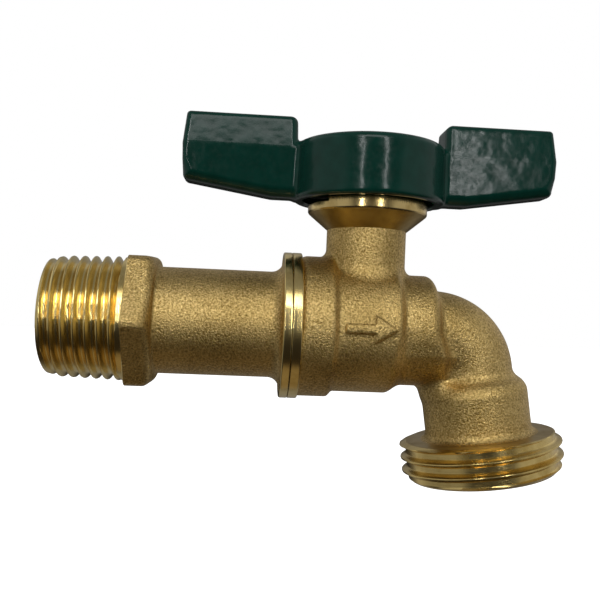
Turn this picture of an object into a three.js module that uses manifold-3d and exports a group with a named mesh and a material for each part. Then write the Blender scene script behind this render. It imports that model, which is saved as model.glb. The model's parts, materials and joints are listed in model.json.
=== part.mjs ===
// Quarter-turn hose bib: a male pipe tailpiece screwed into a ball-valve body that bends down to a
// hose thread, with a two-winged lever handle. Millimetres, +X along the pipe towards the outlet,
// +Z up along the stem, origin at the middle of the inlet end face.
import * as THREE from "three";
import { mergeVertices } from "three/addons/utils/BufferGeometryUtils.js";
import Module from "manifold-3d";

const wasm = await Module();
wasm.setup();

// ---------------------------------------------------------------- sizes
const GAP = 0.3;                    // clearance between pieces that touch in the real valve
const COARSE = 18;                  // sides of a small round piece
const FINE = 28;                    // sides of a large round piece

// tailpiece: tapered pipe thread, wrench hexagon, barrel, flange and spigot
const NPT_PITCH = 1.814;
const NPT_CREST = 9.85;             // crest radius at the inlet face
const NPT_TAPER = 1 / 32;           // radius gained per millimetre of length
const NPT_DEPTH = 1.1;
const NPT_TURNS = 6;
const NPT_FIRST = 1.3;              // where the first crest stands
const NECK_RING_R = 10.15;          // plain ring between the thread and the hexagon
const HEX_START = 13.0;
const HEX_END = 17.3;
const HEX_FLATS = 20.8;
const BARREL_R = 8.8;
const INLET_BORE_R = 7.0;
const FLANGE_R = 12.1;
const FLANGE_START = 37.7;
const SEAM = 39.1;
const SPIGOT_R = 9.8;
const SPIGOT_END = 45.0;
const SEAT_POCKET_R = 7.8;
const INLET_POCKET_FLOOR = 41.5;
const SEAL_GROOVE = [39.7, 41.3];
const SEAL_GROOVE_R = 8.4;

// valve chamber, all centred on the stem line
const STEM_X = 51.5;
const BALL_R = 8.0;
const BALL_BORE_R = 5.0;
const CHAMBER_R = BALL_R + 2 * GAP;
const SEAT_OUTER_R = SEAT_POCKET_R - GAP;
const SEAT_BACK = 8.4;              // distance of a seat's back from the stem line
const SEAT_FRONT = 4.6;
const OUTLET_POCKET_FLOOR = STEM_X + SEAT_BACK + GAP;

// cast body: stepped barrel, then the elbow
const BODY_FLANGE_END = 40.7;
const STEP_ONE_R = 11.65;
const STEP_ONE_END = 46.0;
const STEP_TWO_R = 10.7;
const STEP_TWO_END = 56.6;
const STEP_THREE_R = 9.2;
const STEP_THREE_START = 58.4;
const STEP_THREE_END = 62.0;
const ELBOW_X = 63.3;               // where the bend starts
const ELBOW_BEND = 7.1;             // bend radius of the centre line
const ELBOW_R = 6.75;
const ELBOW_BORE_R = 4.8;
const OUTLET_TILT = 0.15;           // the outlet leans forward of straight down

// outlet: cuff and hose thread, measured along the outlet axis from the pipe axis
const CUFF_R = 8.8;
const CUFF_START = 7.4;
const SHOULDER = 16.8;
const GHT_PITCH = 2.209;
const GHT_CREST = 13.45;
const GHT_DEPTH = 1.15;
const GHT_TURNS = 3;
const GHT_FIRST = 18.35;
const OUTLET_END = 24.0;
const OUTLET_RIM_R = 12.1;
const OUTLET_BORE_R = 8.0;

// stem neck and rim
const NECK_R = 6.65;
const NECK_TOP = 16.0;
const RIM_R = 10.0;
const RIM_BOTTOM = 19.0;
const RIM_TOP = 20.3;
const STOP_TOP = 22.6;
const STOP_INNER_R = 7.5;
const STOP_FROM = 224;              // degrees from +X, seen from above
const STOP_SPAN = 240;
const COLLAR_POCKET_R = 4.6;
const COLLAR_POCKET_TOP = 11.4;
const STEM_BORE_R = 3.35;
const PACKING_FLOOR = 15.2;
const PACKING_BORE_R = 4.9;

// stem and the pieces on it
const STEM_R = 3.0;
const COLLAR_R = 4.2;
const COLLAR_BOTTOM = 8.9;
const COLLAR_TOP = 10.1;
const TANG_BOTTOM = 6.2;
const TANG_HALF = [1.2, 2.9];
const ORING_HEIGHTS = [12.45, 14.15];
const ORING_RING_R = 2.65;
const ORING_SECTION_R = 0.45;
const ORING_GROOVE_R = 1.95;
const ORING_GROOVE_WIDTH = 1.3;
const SQUARE_BOTTOM = 24.6;
const SQUARE_SIDE = 4.2;
const STEM_TOP = 27.2;
const TAPPED_R = 1.75;
const TAPPED_BOTTOM = 19.5;
const RING_INNER_R = STEM_R + GAP;
const RING_OUTER_R = PACKING_BORE_R - GAP;

// handle
const WEB_BOTTOM = 25.2;
const WEB_TOP = 27.6;
const HANDLE_BOTTOM = 20.8;
const HANDLE_TOP = 30.4;
const HANDLE_R = 12.7;
const CAVITY_R = 11.0;
const DISH_R = 10.6;
const WING_TIP = 31.1;
const WING_TOP = 34.4;
const WING_RIDGE = 29.0;            // height of the mould parting line
const WING_BOTTOM = 21.0;
const WING_ROOT = 12.4;
const LUG_ANGLE = 209;              // middle of the stop lug with the valve open
const LUG_SPAN = 26;
const LUG_INNER_R = 8.0;
const LUG_BOTTOM = 21.0;

// ---------------------------------------------------------------- solids
// A closed three.js geometry as a solid, with its faces turned outwards.
function solid(geometry) {
  const bare = geometry.clone();
  bare.deleteAttribute("normal");
  bare.deleteAttribute("uv");
  const merged = mergeVertices(bare, 1e-4);
  const positions = merged.attributes.position;
  const corners = [];
  let volume = 0;
  const a = new THREE.Vector3();
  const b = new THREE.Vector3();
  const c = new THREE.Vector3();
  for (let i = 0; i < merged.index.count; i += 3) {
    const [p, q, r] = [0, 1, 2].map((k) => merged.index.getX(i + k));
    if (p === q || q === r || r === p) continue;
    corners.push(p, q, r);
    a.fromBufferAttribute(positions, p);
    b.fromBufferAttribute(positions, q);
    c.fromBufferAttribute(positions, r);
    volume += a.dot(b.cross(c));
  }
  if (volume < 0) corners.reverse();
  const mesh = new wasm.Mesh({
    numProp: 3,
    vertProperties: new Float32Array(positions.array),
    triVerts: new Uint32Array(corners),
  });
  return new wasm.Manifold(mesh);
}

// A turned solid from [distance along the axis, radius] points, about X or about Z.
function turned(axis, points, sides = FINE) {
  const profile = points.map(([along, radius]) => new THREE.Vector2(radius, along));
  const geometry = new THREE.LatheGeometry(profile, sides);
  if (axis === "x") geometry.rotateZ(-Math.PI / 2);
  if (axis === "z") geometry.rotateX(Math.PI / 2);
  return solid(geometry);
}

// A plain rod between two distances along an axis.
function rod(axis, from, to, radius, sides = FINE) {
  return turned(axis, [[from, 0], [from, radius], [to, radius], [to, 0]], sides);
}

// A flat ring between two distances along an axis.
function ring(axis, from, to, inner, outer, sides = FINE) {
  const points = [[from, inner], [from, outer], [to, outer], [to, inner], [from, inner]];
  return turned(axis, points, sides);
}

// A round-section ring about an axis.
function oRing(axis, middle, ringRadius, sectionRadius) {
  const points = [];
  const steps = 6;
  for (let i = 0; i <= steps; i += 1) {
    const angle = (i % steps) * (2 * Math.PI / steps);
    points.push([middle + sectionRadius * Math.sin(angle), ringRadius + sectionRadius * Math.cos(angle)]);
  }
  return turned(axis, points, COARSE);
}

// A block from its lowest and highest corners.
function block(low, high) {
  const size = high.map((value, i) => value - low[i]);
  const middle = high.map((value, i) => (value + low[i]) / 2);
  return solid(new THREE.BoxGeometry(...size)).translate(middle);
}

// An outline in the X-Y plane, raised from one height to another.
function raised(shape, from, to) {
  const geometry = new THREE.ExtrudeGeometry(shape, {
    depth: to - from,
    bevelEnabled: false,
    curveSegments: 10,
  });
  return solid(geometry).translate([0, 0, from]);
}

// An outline of [x, y] points.
function outline(points) {
  return new THREE.Shape(points.map(([x, y]) => new THREE.Vector2(x, y)));
}

// A regular hexagon outline with the given width across its flats and a flat on the +Y side.
function hexagon(flats) {
  const points = [];
  for (let i = 0; i < 6; i += 1) {
    const angle = i * Math.PI / 3;
    points.push([flats / Math.sqrt(3) * Math.cos(angle), flats / Math.sqrt(3) * Math.sin(angle)]);
  }
  return outline(points);
}

// Part of a flat ring, in degrees from +X, raised between two heights.
function sector(inner, outer, fromDegrees, spanDegrees, from, to) {
  const start = THREE.MathUtils.degToRad(fromDegrees);
  const end = start + THREE.MathUtils.degToRad(spanDegrees);
  const shape = new THREE.Shape();
  shape.absarc(0, 0, outer, start, end, false);
  shape.absarc(0, 0, inner, end, start, true);
  return raised(shape, from, to);
}

// Crests and roots of a thread as profile points; each turn is one ring.
function threadPoints(first, pitch, turns, crestAt, depth) {
  const points = [];
  for (let i = 0; i < turns; i += 1) {
    const middle = first + i * pitch;
    points.push([middle - pitch * 0.45, crestAt(middle) - depth]);
    points.push([middle, crestAt(middle)]);
    points.push([middle + pitch * 0.45, crestAt(middle) - depth]);
  }
  return points;
}

// The centre line of the waterway from the chamber round the bend, then along the outlet axis.
function bendLine(lead, tail) {
  const turn = Math.PI / 2 - OUTLET_TILT;
  const points = [new THREE.Vector3(ELBOW_X - lead, 0, 0)];
  const steps = 8;
  for (let i = 0; i <= steps; i += 1) {
    const angle = turn * i / steps;
    const x = ELBOW_X + ELBOW_BEND * Math.sin(angle);
    const z = -ELBOW_BEND * (1 - Math.cos(angle));
    points.push(new THREE.Vector3(x, 0, z));
  }
  const last = points[points.length - 1];
  points.push(last.clone().add(new THREE.Vector3(Math.cos(turn), 0, -Math.sin(turn)).multiplyScalar(tail)));
  return points;
}

// A round bar that follows the bend.
function bentBar(radius, lead, tail) {
  const path = new THREE.CurvePath();
  const points = bendLine(lead, tail);
  for (let i = 1; i < points.length; i += 1) {
    path.add(new THREE.LineCurve3(points[i - 1], points[i]));
  }
  const section = new THREE.Shape();
  section.absarc(0, 0, radius, 0, 2 * Math.PI, false);
  const geometry = new THREE.ExtrudeGeometry(section, {
    steps: 12,
    curveSegments: 12,
    bevelEnabled: false,
    extrudePath: new THREE.CatmullRomCurve3(points, false, "centripetal"),
  });
  return solid(geometry);
}

// Moves a solid turned about Z so that its axis points down the outlet.
const BEND_END = bendLine(0, 0).pop();
const OUTLET_X = BEND_END.x + BEND_END.z * Math.tan(OUTLET_TILT);
function onOutlet(body) {
  const degrees = THREE.MathUtils.radToDeg(OUTLET_TILT);
  return body.rotate([180, 0, 0]).rotate([0, -degrees, 0]).translate([OUTLET_X, 0, 0]);
}

// ---------------------------------------------------------------- pieces along the pipe
function inletTailpiece() {
  const crest = (x) => NPT_CREST + x * NPT_TAPER;
  const body = turned("x", [
    [0, 0],
    [0, crest(0) - NPT_DEPTH],
    ...threadPoints(NPT_FIRST, NPT_PITCH, NPT_TURNS, crest, NPT_DEPTH),
    [NPT_FIRST + NPT_PITCH * NPT_TURNS - 0.6, NECK_RING_R],
    [HEX_START, NECK_RING_R],
    [HEX_END, NECK_RING_R],
    [HEX_END + 0.7, BARREL_R],
    [FLANGE_START - 1.9, BARREL_R],
    [FLANGE_START - 0.7, BARREL_R + 0.9],
    [FLANGE_START, FLANGE_R - 0.3],
    [FLANGE_START + 0.3, FLANGE_R],
    [SEAM - GAP / 2, FLANGE_R],
    [SEAM - GAP / 2, SPIGOT_R],
    [SEAL_GROOVE[0], SPIGOT_R],
    [SEAL_GROOVE[0], SEAL_GROOVE_R],
    [SEAL_GROOVE[1], SEAL_GROOVE_R],
    [SEAL_GROOVE[1], SPIGOT_R],
    [SPIGOT_END - 0.4, SPIGOT_R],
    [SPIGOT_END, SPIGOT_R - 0.4],
    [SPIGOT_END, 0],
  ]);
  const hex = raised(hexagon(HEX_FLATS), HEX_START, HEX_END).rotate([0, 0, 90]).rotate([0, 90, 0]);
  const bore = rod("x", -1, INLET_POCKET_FLOOR + 1, INLET_BORE_R);
  const pocket = rod("x", INLET_POCKET_FLOOR, SPIGOT_END + 1, SEAT_POCKET_R);
  return body.add(hex).subtract(bore).subtract(pocket);
}

// A seat ring; side is -1 for the inlet seat and +1 for the outlet seat.
function seat(side) {
  const cup = BALL_R + GAP;
  const at = (radius) => Math.sqrt(cup * cup - radius * radius);
  const inner = BALL_BORE_R + 0.1;
  const outer = at(SEAT_FRONT);
  const points = [[SEAT_BACK, inner], [SEAT_BACK, SEAT_OUTER_R], [SEAT_FRONT, SEAT_OUTER_R]];
  const steps = 4;
  for (let i = 0; i <= steps; i += 1) {
    const radius = outer + (inner - outer) * i / steps;
    points.push([at(radius), radius]);
  }
  points.push([SEAT_BACK, inner]);
  return turned("x", points.map(([x, radius]) => [STEM_X + side * x, radius]));
}

function outletBody() {
  const barrel = turned("x", [
    [SEAM + GAP / 2, 0],
    [SEAM + GAP / 2, FLANGE_R],
    [BODY_FLANGE_END, FLANGE_R],
    [BODY_FLANGE_END + 0.4, STEP_ONE_R],
    [STEP_ONE_END, STEP_ONE_R],
    [STEP_ONE_END + 0.9, STEP_TWO_R],
    [STEP_TWO_END, STEP_TWO_R],
    [STEP_THREE_START, STEP_THREE_R],
    [STEP_THREE_END, STEP_THREE_R],
    [STEP_THREE_END + 1.3, STEP_THREE_R - 1.2],
    [STEP_THREE_END + 2.0, ELBOW_R],
    [STEP_THREE_END + 2.0, 0],
  ]);
  const neck = turned("z", [
    [0, 0],
    [0, NECK_R],
    [NECK_TOP, NECK_R],
    [NECK_TOP + 1.6, NECK_R + 1.3],
    [RIM_BOTTOM, RIM_R - 0.2],
    [RIM_BOTTOM + 0.3, RIM_R],
    [RIM_TOP, RIM_R],
    [RIM_TOP, 0],
  ]).add(sector(STOP_INNER_R, RIM_R, STOP_FROM, STOP_SPAN, RIM_TOP - 0.5, STOP_TOP));
  const crest = () => GHT_CREST;
  const outlet = onOutlet(turned("z", [
    [CUFF_START, 0],
    [CUFF_START, ELBOW_R],
    [CUFF_START + 1, CUFF_R - 0.7],
    [CUFF_START + 2, CUFF_R - 0.15],
    [CUFF_START + 3.6, CUFF_R],
    [SHOULDER - 0.6, CUFF_R],
    [SHOULDER, CUFF_R + 0.7],
    [SHOULDER + 0.1, GHT_CREST - 2.2],
    ...threadPoints(GHT_FIRST, GHT_PITCH, GHT_TURNS, crest, GHT_DEPTH),
    [OUTLET_END - 0.2, OUTLET_RIM_R],
    [OUTLET_END, OUTLET_RIM_R - 0.2],
    [OUTLET_END, 0],
  ]));
  const cast = barrel.add(neck.translate([STEM_X, 0, 0])).add(bentBar(ELBOW_R, 2, 3)).add(outlet);
  return cast.add(flowArrow()).subtract(waterway()).subtract(stemWay());
}

// A raised arrow on the front of the barrel that points the way the water flows.
function flowArrow() {
  const arrow = outline([[-4, -0.7], [0.6, -0.7], [0.6, -2.1], [4, 0], [0.6, 2.1], [0.6, 0.7], [-4, 0.7]]);
  const prism = raised(arrow, 5, STEP_TWO_R + 2).rotate([90, 0, 0]).translate([STEM_X, 0, 0]);
  const skin = ring("x", STEM_X - 5, STEM_X + 5, STEP_TWO_R - 0.5, STEP_TWO_R + 0.4, 2 * FINE);
  return prism.intersect(skin);
}

// Everything hollow along the water's way: spigot socket, ball chamber, seat pocket, bend, outlet.
function waterway() {
  const socket = rod("x", SEAM - 1, SPIGOT_END + 0.4, SPIGOT_R + GAP);
  const chamber = rod("x", SPIGOT_END, STEM_X + 5.5, CHAMBER_R);
  const pocket = rod("x", STEM_X + 5, OUTLET_POCKET_FLOOR, SEAT_POCKET_R);
  const outlet = turned("z", [
    [9, 0],
    [9, ELBOW_BORE_R - 0.4],
    [12, OUTLET_BORE_R],
    [OUTLET_END + 1, OUTLET_BORE_R],
    [OUTLET_END + 1, 0],
  ]);
  const bend = bentBar(ELBOW_BORE_R, ELBOW_X - OUTLET_POCKET_FLOOR + 1, 5);
  return socket.add(chamber).add(pocket).add(bend).add(onOutlet(outlet));
}

// The stepped hole down the neck: collar pocket, stem bore and packing box.
function stemWay() {
  return turned("z", [
    [4, 0],
    [4, COLLAR_POCKET_R],
    [COLLAR_POCKET_TOP, COLLAR_POCKET_R],
    [COLLAR_POCKET_TOP, STEM_BORE_R],
    [PACKING_FLOOR, STEM_BORE_R],
    [PACKING_FLOOR, PACKING_BORE_R],
    [STOP_TOP + 1, PACKING_BORE_R],
    [STOP_TOP + 1, 0],
  ], COARSE).translate([STEM_X, 0, 0]);
}

// ---------------------------------------------------------------- pieces about the stem line
function ball() {
  const sphere = solid(new THREE.SphereGeometry(BALL_R, FINE, FINE / 2));
  const bore = rod("x", -BALL_R - 1, BALL_R + 1, BALL_BORE_R);
  const [halfX, halfY] = TANG_HALF.map((half) => half + GAP);
  const slot = block([-halfX, -halfY, TANG_BOTTOM - GAP], [halfX, halfY, BALL_R + 1]);
  return sphere.subtract(bore).subtract(slot);
}

function stem() {
  const grooves = ORING_HEIGHTS.flatMap((height) => [
    [height - ORING_GROOVE_WIDTH / 2, STEM_R],
    [height - ORING_GROOVE_WIDTH / 2, ORING_GROOVE_R],
    [height + ORING_GROOVE_WIDTH / 2, ORING_GROOVE_R],
    [height + ORING_GROOVE_WIDTH / 2, STEM_R],
  ]);
  const shaft = turned("z", [
    [COLLAR_BOTTOM, 0],
    [COLLAR_BOTTOM, COLLAR_R],
    [COLLAR_TOP, COLLAR_R],
    [COLLAR_TOP, STEM_R],
    ...grooves,
    [SQUARE_BOTTOM, STEM_R],
    [SQUARE_BOTTOM, 0],
  ], COARSE);
  const [halfX, halfY] = TANG_HALF;
  const tang = block([-halfX, -halfY, TANG_BOTTOM], [halfX, halfY, COLLAR_BOTTOM + 0.5]);
  const half = SQUARE_SIDE / 2;
  const square = block([-half, -half, SQUARE_BOTTOM - 0.5], [half, half, STEM_TOP]);
  const tapped = rod("z", TAPPED_BOTTOM, STEM_TOP + 1, TAPPED_R, COARSE);
  return shaft.add(tang).add(square).subtract(tapped);
}

function glandNut() {
  const bottom = 19.9;
  const head = [21.5, 24.7];
  const flats = 11;
  const shank = rod("z", bottom, head[0] + 0.5, RING_OUTER_R, COARSE);
  const hex = raised(hexagon(flats), head[0], head[1]);
  const crown = turned("z", [
    [head[0] - 1, 0],
    [head[0] - 1, flats],
    [head[1] - 0.6, flats / 2 + 0.9],
    [head[1], flats / 2],
    [head[1], 0],
  ], COARSE);
  return hex.intersect(crown).add(shank).subtract(rod("z", bottom - 1, head[1] + 1, RING_INNER_R, COARSE));
}

// One wing of the handle, pointing along +X: a drafted section cut to the side outline.
function wing() {
  const section = outline([
    [WING_BOTTOM, -1.8],
    [WING_BOTTOM + 1.6, -3.3],
    [WING_RIDGE, -3.9],
    [WING_TOP - 0.5, -3.5],
    [WING_TOP, -3.1],
    [WING_TOP, 3.1],
    [WING_TOP - 0.5, 3.5],
    [WING_RIDGE, 3.9],
    [WING_BOTTOM + 1.6, 3.3],
    [WING_BOTTOM, 1.8],
  ]);
  const bar = raised(section, 0, WING_TIP + 1).rotate([0, 90, 0]).rotate([180, 0, 0]);
  const side = outline([
    [CAVITY_R + 0.6, WING_BOTTOM],
    [WING_ROOT + 4, WING_BOTTOM],
    [WING_TIP - 1.3, 23.4],
    [WING_TIP - 0.4, 24.2],
    [WING_TIP, 28.6],
    [WING_TIP - 0.5, WING_TOP - 0.9],
    [WING_TIP - 1.3, WING_TOP],
    [WING_ROOT + 1.1, WING_TOP],
    [WING_ROOT + 0.2, WING_TOP - 0.9],
    [WING_ROOT - 0.2, HANDLE_TOP - 0.5],
    [CAVITY_R + 0.6, HANDLE_TOP - 0.5],
  ]);
  const profile = raised(side, -10, 10).rotate([90, 0, 0]);
  return bar.intersect(profile);
}

function handle() {
  const hub = turned("z", [
    [WEB_BOTTOM, 0],
    [WEB_BOTTOM, CAVITY_R],
    [HANDLE_BOTTOM, CAVITY_R],
    [HANDLE_BOTTOM, HANDLE_R - 1.1],
    [HANDLE_BOTTOM + 0.7, HANDLE_R - 0.3],
    [HANDLE_BOTTOM + 1.6, HANDLE_R],
    [HANDLE_TOP - 1, HANDLE_R],
    [HANDLE_TOP, HANDLE_R - 1],
    [HANDLE_TOP, DISH_R],
    [WEB_TOP, DISH_R - 0.4],
    [WEB_TOP, 0],
  ]);
  const from = LUG_ANGLE - LUG_SPAN / 2;
  const lug = sector(LUG_INNER_R, CAVITY_R + 0.5, from, LUG_SPAN, LUG_BOTTOM, WEB_BOTTOM + 0.5);
  const half = SQUARE_SIDE / 2 + GAP;
  const hole = block([-half, -half, WEB_BOTTOM - 1], [half, half, WEB_TOP + 1]);
  return hub.add(wing()).add(wing().rotate([0, 0, 180])).add(lug).subtract(hole);
}

function lockWasher() {
  const cut = block([0, -0.4, 28], [5, 0.4, 31]);
  return ring("z", 28.9, 29.8, 2.3, 3.7, COARSE).subtract(cut);
}

function handleScrew() {
  const body = turned("z", [
    [20.2, 0],
    [20.2, 1.4],
    [30.1, 1.4],
    [30.1, 3.6],
    [31.2, 3.6],
    [32.0, 2.9],
    [32.4, 1.6],
    [32.4, 0],
  ], COARSE);
  const arms = block([-2, -0.4, 31.2], [2, 0.4, 33]).add(block([-0.4, -2, 31.2], [0.4, 2, 33]));
  return body.subtract(arms);
}

// ---------------------------------------------------------------- materials
const castBrass = () => new THREE.MeshStandardMaterial({ color: 0xa8864a, roughness: 0.45, metalness: 0.9 });
const turnedBrass = () => new THREE.MeshStandardMaterial({ color: 0xc9a04e, roughness: 0.22, metalness: 1 });
const greenPaint = () => new THREE.MeshStandardMaterial({ color: 0x0d4b37, roughness: 0.3, metalness: 0 });
const seatPlastic = () => new THREE.MeshStandardMaterial({ color: 0xece9e0, roughness: 0.5, metalness: 0 });
const sealRubber = () => new THREE.MeshStandardMaterial({ color: 0x1b1b1c, roughness: 0.75, metalness: 0 });
const ballChrome = () => new THREE.MeshStandardMaterial({ color: 0xd8dadd, roughness: 0.08, metalness: 1 });
const zincSteel = () => new THREE.MeshStandardMaterial({ color: 0xb4b8ba, roughness: 0.35, metalness: 1 });

// ---------------------------------------------------------------- assembly
function part(name, body, material) {
  const { vertProperties, triVerts } = body.getMesh();
  const indexed = new THREE.BufferGeometry();
  indexed.setAttribute("position", new THREE.BufferAttribute(new Float32Array(vertProperties), 3));
  indexed.setIndex(new THREE.BufferAttribute(new Uint32Array(triVerts), 1));
  indexed.computeVertexNormals();
  const mesh = new THREE.Mesh(indexed, material);
  mesh.name = name;
  return mesh;
}

const pipeLine = new THREE.Group();
pipeLine.add(
  part("outlet_body", outletBody(), castBrass()),
  part("inlet_tailpiece", inletTailpiece(), castBrass()),
  part("body_seal_ring", oRing("x", 40.5, 9.3, 0.55), sealRubber()),
  part("seat_cushion_ring", ring("x", 41.8, 42.8, 5.6, 7.3), sealRubber()),
  part("inlet_seat", seat(-1), seatPlastic()),
  part("outlet_seat", seat(1), seatPlastic()),
);

const stemLine = new THREE.Group();
stemLine.position.set(STEM_X, 0, 0);
stemLine.add(
  part("ball", ball(), ballChrome()),
  part("stem", stem(), turnedBrass()),
  part("stem_thrust_washer", ring("z", 10.4, 11.1, RING_INNER_R, 4.3, COARSE), seatPlastic()),
  part("gland_follower", ring("z", 18.95, 19.6, RING_INNER_R, RING_OUTER_R, COARSE), turnedBrass()),
  part("gland_nut", glandNut(), turnedBrass()),
  part("handle", handle(), greenPaint()),
  part("handle_washer", ring("z", 27.9, 28.6, 2.3, 4.6, COARSE), zincSteel()),
  part("lock_washer", lockWasher(), zincSteel()),
  part("handle_screw", handleScrew(), zincSteel()),
);
["stem_oring_lower", "stem_oring_upper"].forEach((name, i) => {
  const body = oRing("z", ORING_HEIGHTS[i], ORING_RING_R, ORING_SECTION_R);
  stemLine.add(part(name, body, sealRubber()));
});
["packing_ring_lower", "packing_ring_middle", "packing_ring_upper"].forEach((name, i) => {
  const bottom = PACKING_FLOOR + GAP + i * 1.15;
  const body = ring("z", bottom, bottom + 0.85, RING_INNER_R, RING_OUTER_R, COARSE);
  stemLine.add(part(name, body, seatPlastic()));
});

const hoseBib = new THREE.Group();
hoseBib.name = "hose_bib";
hoseBib.add(pipeLine, stemLine);
hoseBib.updateMatrixWorld(true);

export default hoseBib;
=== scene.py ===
# The looks of a quarter-turn hose bib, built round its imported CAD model.
# Sizes are millimetres until a mesh is made; materials, lights and the camera are in metres.
# The pipe runs along +X and the stem along +Z.
import json
import math
from collections import namedtuple

import bmesh
import bpy
import numpy as np
import openvdb
from mathutils import Matrix, Vector


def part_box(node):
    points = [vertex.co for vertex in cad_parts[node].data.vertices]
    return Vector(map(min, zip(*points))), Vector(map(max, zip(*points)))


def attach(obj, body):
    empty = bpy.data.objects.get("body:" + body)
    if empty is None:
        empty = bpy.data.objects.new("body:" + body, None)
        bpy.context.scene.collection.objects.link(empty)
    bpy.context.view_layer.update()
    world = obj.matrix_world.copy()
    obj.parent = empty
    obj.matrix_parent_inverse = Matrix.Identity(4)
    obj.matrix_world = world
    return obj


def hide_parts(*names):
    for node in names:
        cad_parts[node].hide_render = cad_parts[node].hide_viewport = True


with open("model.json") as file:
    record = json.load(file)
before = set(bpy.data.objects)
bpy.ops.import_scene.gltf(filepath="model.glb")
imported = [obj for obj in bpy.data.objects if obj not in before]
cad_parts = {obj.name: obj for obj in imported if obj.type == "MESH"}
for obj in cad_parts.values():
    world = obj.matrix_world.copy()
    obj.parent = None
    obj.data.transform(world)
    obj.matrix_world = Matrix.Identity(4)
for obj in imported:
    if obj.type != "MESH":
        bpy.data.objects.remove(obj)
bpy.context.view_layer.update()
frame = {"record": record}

# ------------------------------------------------------------------ sizes
MM = 0.001
FULL_TURN = 2 * math.pi
QUARTER_TURN = math.pi / 2
HEX_SECTOR = math.pi / 3
MERGE_DISTANCE = 2e-6                 # metres
SHARP_ANGLE = 38                      # degrees; sharper edges are kept crisp
FIELD_STEP = 0.3                      # grid spacing of the shapes made from distance fields


def corners(node):
    """The lowest and highest corner of a CAD node, in millimetres."""
    low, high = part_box(node)
    return low / MM, high / MM


pipe_high = corners("inlet_tailpiece")[1]
body_low, body_high = corners("outlet_body")
grip_low, grip_high = corners("handle")
ball_low, ball_high = corners("ball")
stem_low, stem_high = corners("stem")

GAP = 0.3                             # clearance between pieces that touch in the real valve
STEM_X = (grip_low.x + grip_high.x) / 2
BALL_R = (ball_high.x - ball_low.x) / 2
STEM_R = 3.0

# tailpiece, along the pipe
NPT_PITCH = 1.814
NPT_FIRST = 1.6                       # where the first crest stands at the top
NPT_CREST = 9.85                      # crest radius at the inlet face
NPT_TAPER = 1 / 32
NPT_DEPTH = 1.1
NPT_LEAD_R, NPT_LEAD_SLOPE = 9.35, 0.25   # the chamfer at the inlet face
NPT_RUN_OUT = 1.8                     # slope from the thread up to the neck ring
INLET_MOUTH = 0.4                     # chamfer of the bore at the inlet face
NECK_RING_R = 10.15
NECK_RING_START = 12.1
HEX_START = 13.0
HEX_ROUND_START = 15.8                # where the cast shoulder starts to round off
HEX_ROUND = 1.55
HEX_EDGE = 0.1
SHOULDER_FOOT = 0.55                  # fillet from the shoulder to the barrel
HEX_CORNER_R = 11.68                  # the six corners are turned down to this radius
HEX_HALF_FLATS = 10.4
HEX_TURN = 0.045                      # the forging sits a little turned about the pipe
BARREL_R = 8.8
FLANGE_START = 37.7
FLANGE_FILLET = 1.9
FLANGE_R = pipe_high.z
SEAM = body_low.x - GAP / 2
JOINT_LINE = 0.05                     # the flange faces are drawn up to a hairline
SPIGOT_R = 9.8
SPIGOT_END = pipe_high.x
SEAL_GROOVE = (39.7, 41.3)
SEAL_GROOVE_R = 8.4
SEAT_POCKET_R = 7.8
INLET_POCKET_FLOOR = 41.5
INLET_BORE_R = 7.0

# cast body, along the pipe; its underside ends further along and with a sharper edge
CAST_START = SEAM + 0.9
UNDERSIDE_DEPTH = 4.0                 # depth below the axis where the underside's shape is reached
UNDERSIDE_EXTRA, UNDERSIDE_SHARPER = 0.8, 0.9
END_EDGE = 1.7
BODY_FLANGE_END = 40.7
STEP_ONE_R, STEP_ONE_FALL, STEP_ONE_WIDTH = 11.65, 46.0, 1.2     # radius, and where it falls
STEP_TWO_R, STEP_TWO_FALL, STEP_TWO_WIDTH = 10.7, 56.6, 1.5
STEP_THREE_R, STEP_THREE_END = 9.2, 63.1
NECK_FILLET, CROTCH_FILLET = 1.1, 2.3     # the second is added on the underside
ARROW_HEIGHT, ARROW_FILLET = 0.4, 0.3
ELBOW_X = 63.3
ELBOW_BEND = 7.1
ELBOW_R = 6.75
ELBOW_BORE_R = 4.8
OUTLET_TILT = 0.15
SEAT_BACK = 8.4
CHAMBER_R = BALL_R + 2 * GAP

# outlet, along its own axis from the pipe axis
CUFF_R = 8.8
CUFF_START = 7.7
CUFF_EDGE, CUFF_FILLET, CORE_FILLET = 1.3, 1.0, 1.3
CUFF_RUN, CUFF_RISE = 0.5, 0.87       # direction of the cuff's cone
SHOULDER = 17.35
SHOULDER_R = 11.8
CUFF_OVERLAP = 2                      # how far the cuff runs on into the turned ring
CORE_R, CORE_EDGE = 11.2, 0.3         # the cast core inside the turned ring
CORE_START, CORE_END = SHOULDER + 0.05, SHOULDER + 2.4
GHT_PITCH = 2.209
GHT_CREST = 13.45
GHT_DEPTH = 1.0
GHT_FIRST = 18.85                     # where the first crest stands on the right
GHT_LEAD_R, GHT_LEAD_SLOPE = 12.0, 2.8    # the chamfer at the shoulder
GHT_END_SLOPE = 1.2                   # the chamfer at the open end
OUTLET_END = 24.0
OUTLET_RIM_R = 12.1
OUTLET_BORE_R = 8.0

# neck and the stop on its rim, up the stem
NECK_R = 6.65
CONE_START = 16.15
RIM_R = 10.0
RIM_BOTTOM, RIM_TOP = 19.0, 20.3
STOP_TOP = body_high.z
STOP_INNER_R = 7.5
STOP_FROM, STOP_SPAN = 224, 240       # degrees, seen from above
COLLAR_POCKET_R = 4.6
COLLAR_POCKET_TOP = 11.4
STEM_BORE_R = 3.35
PACKING_FLOOR = 15.2
PACKING_BORE_R = 4.9

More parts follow.
